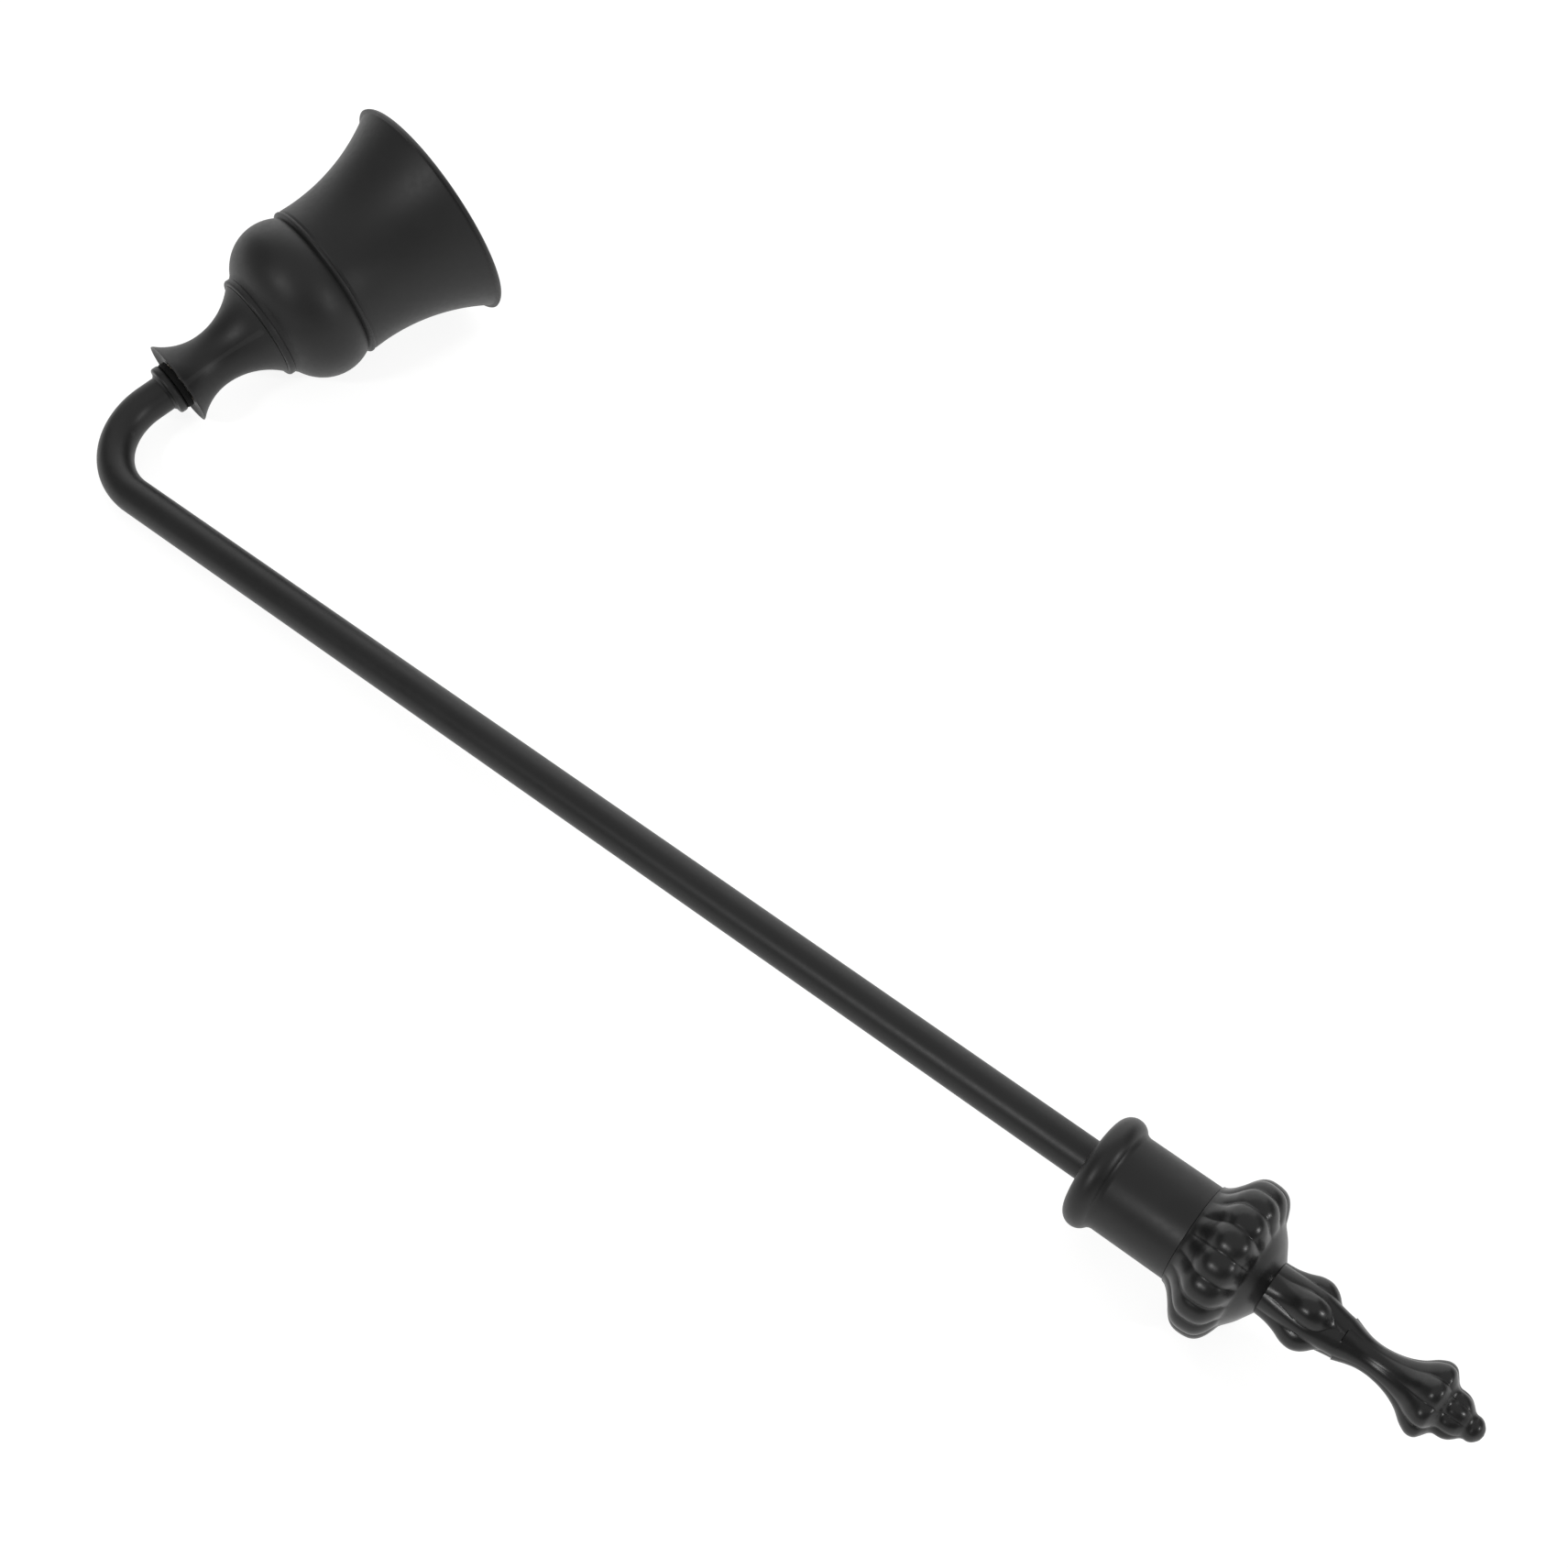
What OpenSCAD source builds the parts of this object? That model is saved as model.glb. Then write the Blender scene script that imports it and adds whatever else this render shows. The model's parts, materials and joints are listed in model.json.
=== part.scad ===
// Candle snuffer lying on its side: a three-piece bell that turns on the end of a bent rod,
// and a handle made of a rolled ferrule, a lobed rosette and a lobed finial.
// Millimetres. Stations called *_at are distances from the corner where the two legs would meet.

/* [Rod] */
// Diameter of the rod
rod_d = 6; // [5.6:0.1:6.4]
// Centreline radius of the bend
bend_r = 12; // [11:0.5:13]
// Angle between the two legs, degrees
leg_angle = 78; // [74:1:84]
// Diameter of both threaded spigots
spigot_d = 5; // [4.6:0.1:5.2]

/* [Bell] */
// Outside radius of the mouth
mouth_r = 19.5; // [18.5:0.1:20.5]
// Outside radius of the bulb
bulb_r = 14.13; // [13.9:0.05:14.4]
// Outside radius of the neck at its waist
waist_r = 4.55; // [4.4:0.05:5]
// Wall of the spun shells
shell_wall = 0.95; // [0.8:0.05:1.1]

/* [Handle] */
// Outside radius of the ferrule tube
ferrule_r = 7.1; // [6.9:0.1:7.4]
// Tube radius of the rolled bead at the ferrule mouth
bead_tube_r = 2.05; // [1.8:0.05:2.2]
// Largest radius of the rosette
rosette_r = 11.5; // [11.2:0.1:11.8]
// Number of round lobes round the rosette
rosette_lobes = 18; // [16:1:18]
// Number of lobes round the finial
lobe_count = 8; // [6:1:8]

/* [Lying pose] */
// Roll that rests the bulb beside the rod, degrees
lie_roll = 14.32; // [14.32:0.01:14.32]
// Pitch that rests the rosette at the far end, degrees
lie_pitch = 2.294; // [2.294:0.001:2.294]

/* [Hidden] */
$fn = 96;
eps = 0.01;

// where the box centre and the floor lie in the modelling frame after the roll and pitch
centre_x = 127.643;
centre_y = 32.281;
rest_z = 2.445;

rod_r = rod_d / 2;
spigot_r = spigot_d / 2;
running_gap = 0.05;
end_play = 0.3;
turn_angle = 180 - leg_angle;
tangent_len = bend_r * tan(turn_angle / 2);

// bell leg stations
collar_at = 18.2;
collar_len = 1.5;
collar_r = 4.25;
collar_round = 0.5;
collar_foot = 0.5;
shoulder_at = collar_at + collar_len;
washer_at = shoulder_at;
washer_len = 1.1;
washer_r = 4.15;
neck_floor_at = washer_at + washer_len + end_play;
neck_edge_at = 20.6;
neck_edge_r = 7.2;
neck_edge_wall = 0.3;
neck_floor_r = 4.7;
waist_at = 27.6;
front_arc_r = 10.2;
rear_arc_r = 12.7;
lip_at = 36.7;
lip_len = 1;
lip_r = 9.2;
lip_round = 0.3;
bush_r = 3.5;
boss_r = 4.4;
boss_end_at = 38.8;
plate_at = lip_at + lip_len;
bulb_at = 46;
bulb_arc_r = 8.5;
seam_at = 50.35;
seam_r = 12.75;
lap_end_at = 52.8;
skirt_lip_r = 13.67;
skirt_lip_len = 1.3;
skirt_lip_round = 0.4;
skirt_waist_at = 53.5;
skirt_waist_r = 13.5;
mouth_at = 74;
mouth_round = 1.1;
mouth_lip_wall = 1.7;
mouth_lip_len = 1.6;
skirt_run = mouth_at - skirt_waist_at;
skirt_rise = mouth_r - skirt_waist_r;
skirt_arc_r = (skirt_run * skirt_run + skirt_rise * skirt_rise) / (2 * skirt_rise);

// inside the bell
flat_washer_at = boss_end_at + end_play;
flat_washer_len = 1;
flat_washer_r = 5;
spring_at = flat_washer_at + flat_washer_len;
spring_len = 1.1;
spring_r = 4.4;
spring_cut = 0.8;
nut_flats = 8;
nut_len = 4;
nut_corner_r = nut_flats / 2 / cos(30);
nut_chamfer = 0.45;
nut_at = spring_at + spring_len;
thread_clear = 0.1;
spigot_end_at = nut_at + nut_len + 1.1;
tip_chamfer = 0.6;
root_len = 1;
core_r = rod_r - 0.1;

// handle stations
bead_at = 204.5;
bead_ring_r = 6.3;
ferrule_wall = 1;
ferrule_end_at = 218.2;
bush_at = 207.2;
bush_len = 3.4;
handle_shoulder_at = 211.4;
handle_nut_at = 212;
handle_washer_at = handle_nut_at + nut_len;
handle_washer_len = 1;
boss_at = handle_washer_at + handle_washer_len;
rosette_boss_r = ferrule_r - ferrule_wall;
handle_spigot_end = 224.6;
stud_at = 225.2;
stud_r = 2;
stud_len = 11;
rosette_foot_r = 7.3;
dome_at = 223.4;
dome_arc_r = 3.3;
dome_low_at = 220.4;
dome_low_r = 8.7;
lobe_end_at = 227.35;
lobe_end_r = 7.6;
cone_end_at = 229.8;
cone_end_r = 3.9;
crease_ring_r = 4.76;
crease_depth = 0.65;
crease_half = 0.75;
crease_clear = 0.35;
crease_start = 16;
crease_sweep = 142;
crease_phase = 14.5;

// finial stations
finial_at = cone_end_at;
finial_foot_r = 3.85;
bulge_at = 235.3;
bulge_arc_r = 2.9;
bulge_r = 5.07;
bulge_foot_at = 233;
bulge_foot_r = 4.3;
step_at = 238.3;
step_r = 3.26;
step_end_at = 240.3;
slim_at = 244.85;
slim_r = 2.14;
slim_arc_r = 9.3;
crown_at = 252.9;
crown_r = 5.4;
crown_arc_r = 1.3;
tier_at = 255.9;
tier_r = 3.3;
tier_arc_r = 2;
tip_at = 258.75;
tip_r = 1.65;
lobe_phase = 5.5;
lobe_tube_r = 2.1;
lobe_depth = 0.5;
bulge_ring_r = 3.4;
crown_ring_r = 4.6;

// seats a child made in the flat modelling frame on the floor
module lie() {
    translate([-centre_x, -centre_y, rest_z])
        rotate([0, -lie_pitch, 0])
            rotate([lie_roll, 0, 0])
                children();
}

// z of the child runs along the long leg, away from the bend
module on_rod() {
    lie() rotate([0, 90, 0]) children();
}

// z of the child runs along the short leg, towards the mouth
module on_bell() {
    lie() rotate([0, 0, leg_angle]) rotate([0, 90, 0]) children();
}

// rod of radius r from station a to station b
module bar(r, a, b) {
    translate([0, 0, a]) cylinder(r = r, h = b - a);
}

// ring between two radii from station a to station b
module ring(r_in, r_out, a, b) {
    difference() {
        bar(r_out, a, b);
        bar(r_in, a - eps, b + eps);
    }
}

// flat outline rectangle from radius r0 to r1, station a to station b
module band(r0, r1, a, b) {
    translate([r0, a]) square([r1 - r0, b - a]);
}

// hexagon nut with its corners turned off
module hex_nut(a) {
    difference() {
        intersection() {
            translate([0, 0, a]) cylinder(r = nut_corner_r, h = nut_len, $fn = 6);
            union() {
                translate([0, 0, a])
                    cylinder(r1 = nut_corner_r - nut_chamfer, r2 = nut_corner_r, h = nut_chamfer / 2);
                bar(nut_corner_r, a + nut_chamfer / 2, a + nut_len - nut_chamfer / 2);
                translate([0, 0, a + nut_len - nut_chamfer / 2])
                    cylinder(r1 = nut_corner_r, r2 = nut_corner_r - nut_chamfer, h = nut_chamfer / 2);
            }
        }
        bar(spigot_r, a - eps, a + nut_len + eps);
    }
}

// threaded end with a chamfered tip, pointing along +z and rooted inside the rod
module spigot(a, b) {
    bar(spigot_r, a - root_len, b - tip_chamfer);
    translate([0, 0, b - tip_chamfer])
        cylinder(r1 = spigot_r, r2 = spigot_r - tip_chamfer, h = tip_chamfer);
}

module bent_rod() {
    color("dimgray") {
        on_rod() {
            bar(core_r, tangent_len - root_len, tangent_len + root_len);
            bar(rod_r, tangent_len, handle_shoulder_at);
            spigot(handle_shoulder_at, handle_spigot_end);
        }
        on_bell() {
            bar(core_r, tangent_len - root_len, tangent_len + root_len);
            bar(rod_r, tangent_len, shoulder_at);
            spigot(shoulder_at, spigot_end_at);
        }
        lie()
            translate([tangent_len, bend_r, 0])
                rotate([0, 0, 270 - turn_angle])
                    rotate_extrude(angle = turn_angle)
                        translate([bend_r, 0]) circle(r = rod_r);
    }
}

module rod_collar() {
    color("black") on_bell()
        rotate_extrude()
            difference() {
                union() {
                    band(rod_r, collar_r - collar_round, collar_at, shoulder_at);
                    band(rod_r, collar_r, collar_at + collar_round, shoulder_at - collar_round);
                    translate([collar_r - collar_round, collar_at + collar_round]) circle(r = collar_round);
                    translate([collar_r - collar_round, shoulder_at - collar_round]) circle(r = collar_round);
                    polygon([[rod_r, collar_at - collar_foot], [rod_r + collar_foot, collar_at],
                             [rod_r, collar_at + collar_foot]]);
                }
                band(0, rod_r, 0, mouth_at);
            }
}

module neck_washer() {
    color("saddlebrown") on_bell()
        ring(spigot_r + thread_clear, washer_r, washer_at, washer_at + washer_len);
}

module bell_neck() {
    color("dimgray") on_bell()
        rotate_extrude()
            difference() {
                union() {
                    difference() {
                        band(bush_r, lip_r, neck_edge_at, lip_at + lip_len / 2);
                        intersection() {
                            translate([waist_r + front_arc_r, waist_at]) circle(r = front_arc_r);
                            band(0, 2 * lip_r, neck_edge_at - lip_r, waist_at);
                        }
                        intersection() {
                            translate([waist_r + rear_arc_r, waist_at]) circle(r = rear_arc_r);
                            band(0, 2 * lip_r, waist_at, lip_at);
                        }
                        band(neck_edge_r, 2 * lip_r, neck_edge_at - 1, waist_at);
                    }
                    band(bush_r, lip_r - lip_round, lip_at, plate_at);
                    band(bush_r, lip_r, lip_at + lip_round, plate_at - lip_round);
                    translate([lip_r - lip_round, lip_at + lip_round]) circle(r = lip_round);
                    translate([lip_r - lip_round, plate_at - lip_round]) circle(r = lip_round);
                    band(bush_r, boss_r, plate_at - 1, boss_end_at);
                }
                polygon([[0, neck_edge_at - 1], [neck_edge_r - neck_edge_wall, neck_edge_at - 1],
                         [neck_edge_r - neck_edge_wall, neck_edge_at], [neck_floor_r, neck_floor_at],
                         [0, neck_floor_at]]);
            }
}

module swivel_bush() {
    color("goldenrod") on_bell()
        ring(spigot_r + running_gap, bush_r, neck_floor_at, boss_end_at);
}

module bell_bulb() {
    arc_c = bulb_r - bulb_arc_r;
    inner_arc_r = bulb_arc_r - shell_wall;
    color("gray") on_bell()
        rotate_extrude()
            difference() {
                union() {
                    intersection() {
                        translate([arc_c, bulb_at]) circle(r = bulb_arc_r);
                        band(boss_r, bulb_r + 1, plate_at, seam_at + shell_wall);
                    }
                    band(boss_r, arc_c + bulb_arc_r / 4, plate_at, bulb_at);
                    band(boss_r, seam_r, bulb_at, lap_end_at);
                }
                intersection() {
                    translate([arc_c, bulb_at]) circle(r = inner_arc_r);
                    band(0, bulb_r, plate_at + shell_wall, bulb_at + inner_arc_r);
                }
                band(0, arc_c + inner_arc_r / 2, plate_at + shell_wall, lap_end_at + 1);
                band(0, seam_r - shell_wall, bulb_at, lap_end_at + 1);
            }
}

module bell_skirt() {
    arc_c = skirt_waist_r + skirt_arc_r;
    color("dimgray") on_bell()
        rotate_extrude()
            difference() {
                union() {
                    difference() {
                        band(seam_r - 1, mouth_r, skirt_waist_at, mouth_at - mouth_round);
                        translate([arc_c, skirt_waist_at]) circle(r = skirt_arc_r);
                    }
                    band(seam_r - 1, mouth_r - mouth_round, mouth_at - mouth_lip_len, mouth_at);
                    intersection() {
                        translate([mouth_r - mouth_round, mouth_at - mouth_round]) circle(r = mouth_round);
                        band(0, 2 * mouth_r, mouth_at - mouth_round, mouth_at);
                    }
                    band(seam_r - 1, skirt_waist_r, seam_at + skirt_lip_round, skirt_waist_at);
                    band(seam_r - 1, skirt_lip_r - skirt_lip_round, seam_at, seam_at + skirt_lip_len);
                    translate([skirt_lip_r - skirt_lip_round, seam_at + skirt_lip_round])
                        circle(r = skirt_lip_round);
                    translate([skirt_lip_r - skirt_lip_round, seam_at + skirt_lip_len - skirt_lip_round])
                        circle(r = skirt_lip_round);
                    band(seam_r - 1, skirt_lip_r, seam_at + skirt_lip_round,
                         seam_at + skirt_lip_len - skirt_lip_round);
                }
                difference() {
                    band(0, mouth_r - mouth_lip_wall, skirt_waist_at, mouth_at + 1);
                    translate([arc_c, skirt_waist_at]) circle(r = skirt_arc_r + shell_wall);
                }
                band(0, skirt_waist_r - shell_wall, lap_end_at, skirt_waist_at + eps);
                band(0, seam_r, 0, lap_end_at);
            }
}

module swivel_washer() {
    color("silver") on_bell()
        ring(spigot_r + thread_clear, flat_washer_r, flat_washer_at, spring_at);
}

module spring_washer() {
    color("silver") on_bell()
        difference() {
            ring(spigot_r + thread_clear, spring_r, spring_at, nut_at);
            rotate([0, 0, 90])
                translate([0, -spring_cut / 2, spring_at - 1]) cube([spring_r + 1, spring_cut, spring_len + 2]);
        }
}

module swivel_nut() {
    color("silver") on_bell() hex_nut(nut_at);
}

module handle_ferrule() {
    color("dimgray") on_rod()
        rotate_extrude()
            union() {
                translate([bead_ring_r, bead_at]) circle(r = bead_tube_r);
                band(ferrule_r - ferrule_wall, ferrule_r, bead_at, ferrule_end_at);
            }
}

module ferrule_bush() {
    color("goldenrod") on_rod() ring(rod_r, ferrule_r - ferrule_wall, bush_at, bush_at + bush_len);
}

module handle_nut() {
    color("silver") on_rod() hex_nut(handle_nut_at);
}

module handle_washer() {
    color("silver") on_rod()
        ring(spigot_r + thread_clear, flat_washer_r, handle_washer_at, boss_at);
}

// one concave flute cut over a bulge: a part torus standing across the axis
module flute(at, ring_low, ring_r, tube_r, start, sweep) {
    translate([ring_low, 0, at])
        rotate([90, 0, 0])
            rotate([0, 0, start - 90])
                rotate_extrude(angle = sweep)
                    translate([ring_r, 0]) circle(r = tube_r);
}

// one crease between two round lobes: a part ring of wedge section standing across the axis
module crease(at, ring_low, start, sweep) {
    bottom_r = crease_ring_r - crease_depth;
    top_r = crease_ring_r + crease_clear;
    top_half = crease_half * (top_r - bottom_r) / crease_depth;
    translate([ring_low, 0, at])
        rotate([90, 0, 0])
            rotate([0, 0, start - 90])
                rotate_extrude(angle = sweep)
                    polygon([[bottom_r, 0], [top_r, -top_half], [top_r, top_half]]);
}

module rosette() {
    dome_c = rosette_r - dome_arc_r;
    ring_low = rosette_r - crease_ring_r;
    color("gray") on_rod() rotate([0, 0, crease_phase])
        difference() {
            rotate_extrude()
                union() {
                    translate([dome_c, dome_at]) circle(r = dome_arc_r);
                    polygon([[0, ferrule_end_at], [rosette_foot_r, ferrule_end_at],
                             [rosette_foot_r, ferrule_end_at + 0.6], [dome_low_r, dome_low_at + 0.3],
                             [dome_c, dome_at], [lobe_end_r + 0.25, dome_at + 3],
                             [lobe_end_r, lobe_end_at],
                             [cone_end_r, cone_end_at], [0, cone_end_at]]);
                    band(0, rosette_boss_r, boss_at, ferrule_end_at + 1);
                }
            for (i = [0:rosette_lobes - 1])
                rotate([0, 0, i * 360 / rosette_lobes])
                    crease(dome_at, ring_low, crease_start, crease_sweep);
            bar(spigot_r, boss_at - 1, handle_spigot_end + 0.2);
            bar(stud_r, stud_at - 0.2, cone_end_at + 1);
        }
}

module finial_stud() {
    color("silver") on_rod() bar(stud_r, stud_at, stud_at + stud_len);
}

module finial() {
    color("dimgray") on_rod() rotate([0, 0, lobe_phase])
        difference() {
            rotate_extrude()
                intersection() {
                    union() {
                        polygon([[0, finial_at], [finial_foot_r, finial_at], [bulge_foot_r, bulge_foot_at],
                                 [bulge_foot_r, bulge_at], [step_r, step_at - 0.6], [step_r, step_end_at],
                                 [0, step_end_at]]);
                        translate([bulge_r - bulge_arc_r, bulge_at]) circle(r = bulge_arc_r);
                        difference() {
                            band(0, crown_r - crown_arc_r / 4, step_end_at - 1, crown_at);
                            translate([slim_r + slim_arc_r, slim_at]) circle(r = slim_arc_r);
                        }
                        translate([crown_r - crown_arc_r, crown_at]) circle(r = crown_arc_r);
                        band(0, crown_r - crown_arc_r, crown_at - 1, crown_at + crown_arc_r);
                        band(0, tier_r, crown_at, tier_at);
                        translate([tier_r - tier_arc_r, tier_at]) circle(r = tier_arc_r);
                        translate([0, tip_at]) circle(r = tip_r);
                        band(0, tip_r / 2, tier_at, tip_at);
                    }
                    band(0, crown_r + 1, finial_at, tip_at + tip_r + 1);
                }
            for (i = [0:lobe_count - 1])
                rotate([0, 0, (i + 0.5) * 360 / lobe_count]) {
                    flute(bulge_at, bulge_r - bulge_ring_r, bulge_ring_r - lobe_depth + lobe_tube_r,
                          lobe_tube_r, 20, 140);
                    flute(crown_at, crown_r - crown_ring_r, crown_ring_r - lobe_depth + lobe_tube_r,
                          lobe_tube_r, 58, 90);
                }
            bar(stud_r, finial_at - 1, stud_at + stud_len + 0.2);
        }
}

bent_rod();
rod_collar();
neck_washer();
bell_neck();
swivel_bush();
bell_bulb();
bell_skirt();
swivel_washer();
spring_washer();
swivel_nut();
handle_ferrule();
ferrule_bush();
handle_nut();
handle_washer();
rosette();
finial_stud();
finial();
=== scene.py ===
"""Candle snuffer lying on its side: a bell that turns on a bent rod, and a turned and cast handle.

Sizes are in millimetres and turned to metres where vertices are made. A station is a distance along
one of the two legs, counted from the corner where the legs' centre lines would meet.
"""

import json
import logging
import math
from dataclasses import dataclass, field
from enum import Enum
from typing import Any, Callable, Optional, Sequence

import bmesh
import bpy
from mathutils import Matrix, Vector


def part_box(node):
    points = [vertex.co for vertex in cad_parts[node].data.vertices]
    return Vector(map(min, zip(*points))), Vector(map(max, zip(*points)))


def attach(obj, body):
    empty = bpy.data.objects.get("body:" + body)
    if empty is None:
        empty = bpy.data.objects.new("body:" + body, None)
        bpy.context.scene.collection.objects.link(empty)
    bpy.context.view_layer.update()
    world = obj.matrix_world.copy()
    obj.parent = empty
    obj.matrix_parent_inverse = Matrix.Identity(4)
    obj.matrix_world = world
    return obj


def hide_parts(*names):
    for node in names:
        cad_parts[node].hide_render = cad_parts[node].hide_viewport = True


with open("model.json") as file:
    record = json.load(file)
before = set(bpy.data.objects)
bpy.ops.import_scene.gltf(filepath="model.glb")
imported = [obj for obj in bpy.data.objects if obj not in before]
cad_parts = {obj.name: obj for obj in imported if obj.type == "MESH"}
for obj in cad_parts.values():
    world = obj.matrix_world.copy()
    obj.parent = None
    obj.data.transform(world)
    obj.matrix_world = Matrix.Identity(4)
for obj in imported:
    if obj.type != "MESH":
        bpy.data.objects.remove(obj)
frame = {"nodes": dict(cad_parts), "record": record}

MM = 0.001
LOG = logging.getLogger("snuffer")

Point = tuple[float, float]
Relief = Callable[[float, float, float], float]


class Body(str, Enum):
    """The two rigid bodies of the snuffer."""

    HANDLE = "handle_and_rod"
    BELL = "bell"


class Slot(str, Enum):
    """Material slots of the record."""

    SATIN = "satin_black"
    GLOSS = "gloss_black_cast"
    FIBRE = "black_fibre"
    BRASS = "brass_bush"
    ZINC = "zinc_steel"


# ---------------------------------------------------------------------------------------------------
# Outlines and meshes
# ---------------------------------------------------------------------------------------------------


def arc(centre: Point, radius: float, start: float, end: float, steps: int) -> list[Point]:
    """Points on a circular arc.

    Args:
        centre: Station and radius of the arc's centre, mm.
        radius: Arc radius, mm.
        start: First angle in degrees, 0 along the axis and 90 away from it.
        end: Last angle in degrees.
        steps: Number of spans.

    Returns:
        steps + 1 points from start to end.
    """
    turns = [math.radians(start + (end - start) * i / steps) for i in range(steps + 1)]
    return [(centre[0] + radius * math.cos(t), centre[1] + radius * math.sin(t)) for t in turns]


def rounded(corners: Sequence[tuple[float, float, float]], steps: int = 5) -> list[Point]:
    """A closed outline with its corners rounded.

    Args:
        corners: Station, radius and fillet radius of each corner, in order round the outline, mm.
        steps: Spans in each fillet.

    Returns:
        The outline's points, without a repeat of the first.
    """
    out: list[Point] = []
    count = len(corners)
    for i, (z, r, fillet) in enumerate(corners):
        here = Vector((z, r))
        before = Vector(corners[i - 1][:2]) - here
        after = Vector(corners[(i + 1) % count][:2]) - here
        if fillet <= 0 or before.length < 1e-6 or after.length < 1e-6:
            out.append((z, r))
            continue
        half = before.angle(after) / 2
        reach = min(fillet / math.tan(half), 0.49 * before.length, 0.49 * after.length)
        size = reach * math.tan(half)
        start = here + before.normalized() * reach
        end = here + after.normalized() * reach
        centre = here + (before.normalized() + after.normalized()).normalized() * (size / math.sin(half))
        for k in range(steps + 1):
            spoke = (start - centre).lerp(end - centre, k / steps).normalized()
            out.append(tuple(centre + spoke * size))
    return out


def resampled(points: Sequence[Point], pitch: float) -> list[Point]:
    """The same line with no span longer than pitch.

    Args:
        points: Points of an open line, mm.
        pitch: Longest span allowed, mm.

    Returns:
        The denser line.
    """
    out = [points[0]]
    for a, b in zip(points, points[1:]):
        spans = max(1, math.ceil(math.dist(a, b) / pitch))
        for k in range(1, spans + 1):
            out.append((a[0] + (b[0] - a[0]) * k / spans, a[1] + (b[1] - a[1]) * k / spans))
    return out


def smooth_curve(points: Sequence[Point], pitch: float) -> list[Point]:
    """A Catmull-Rom curve through a few turning points.

    Args:
        points: Station and radius of each turning point, mm.
        pitch: Span length to aim for, mm.

    Returns:
        The curve's points, the first and last of them exactly as given.
    """
    ends = [points[0], *points, points[-1]]
    out = [points[0]]
    for p0, p1, p2, p3 in zip(ends, ends[1:], ends[2:], ends[3:]):
        spans = max(1, math.ceil(math.dist(p1, p2) / pitch))
        for k in range(1, spans + 1):
            t = k / spans
            out.append(tuple(
                0.5 * (2 * b + (c - a) * t + (2 * a - 5 * b + 4 * c - d) * t ** 2
                       + (3 * b - a - 3 * c + d) * t ** 3)
                for a, b, c, d in zip(p0, p1, p2, p3)
            ))
    return out


@dataclass(frozen=True)
class Leg:
    """A straight axis of the snuffer that round pieces are turned about."""

    origin: Vector
    direction: Vector
    normal: Vector

    def matrix(self) -> Matrix:
        """Leg coordinates in metres to the row frame: z along the leg, x square to the legs' plane.

        Returns:
            The matrix.
        """
        x_axis = -self.normal
        y_axis = self.normal.cross(self.direction)
        turn = Matrix((x_axis, y_axis, self.direction)).transposed().to_4x4()
        return Matrix.Translation(self.origin) @ turn


@dataclass(frozen=True)
class Layout:
    """Places of the two legs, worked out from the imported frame."""

    pivot_station: float = 30.0

    def bell(self) -> Leg:
        """The short leg, from the corner to the bell's mouth.

        Returns:
            The leg, along the swivel's axis.
        """
        joint = frame["record"]["behaviour"]["joints"][0]
        direction = Vector(joint["axis"]).normalized()
        origin = Vector(joint["pos_m"]) - direction * self.pivot_station * MM
        return Leg(origin, direction, self._normal(origin, direction))

    def rod(self) -> Leg:
        """The long leg, from the corner to the finial."""
        bell = self.bell()
        return Leg(bell.origin, self._rod_direction(bell.origin), bell.normal)

    def _rod_direction(self, corner: Vector) -> Vector:
        """Direction from the corner to the middle of the finial's stud."""
        low, high = (Vector(v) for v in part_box("finial_stud"))
        return ((low + high) / 2 - corner).normalized()

    def _normal(self, corner: Vector, bell_direction: Vector) -> Vector:
        """Normal of the plane that both legs lie in."""
        return self._rod_direction(corner).cross(bell_direction).normalized()


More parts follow.
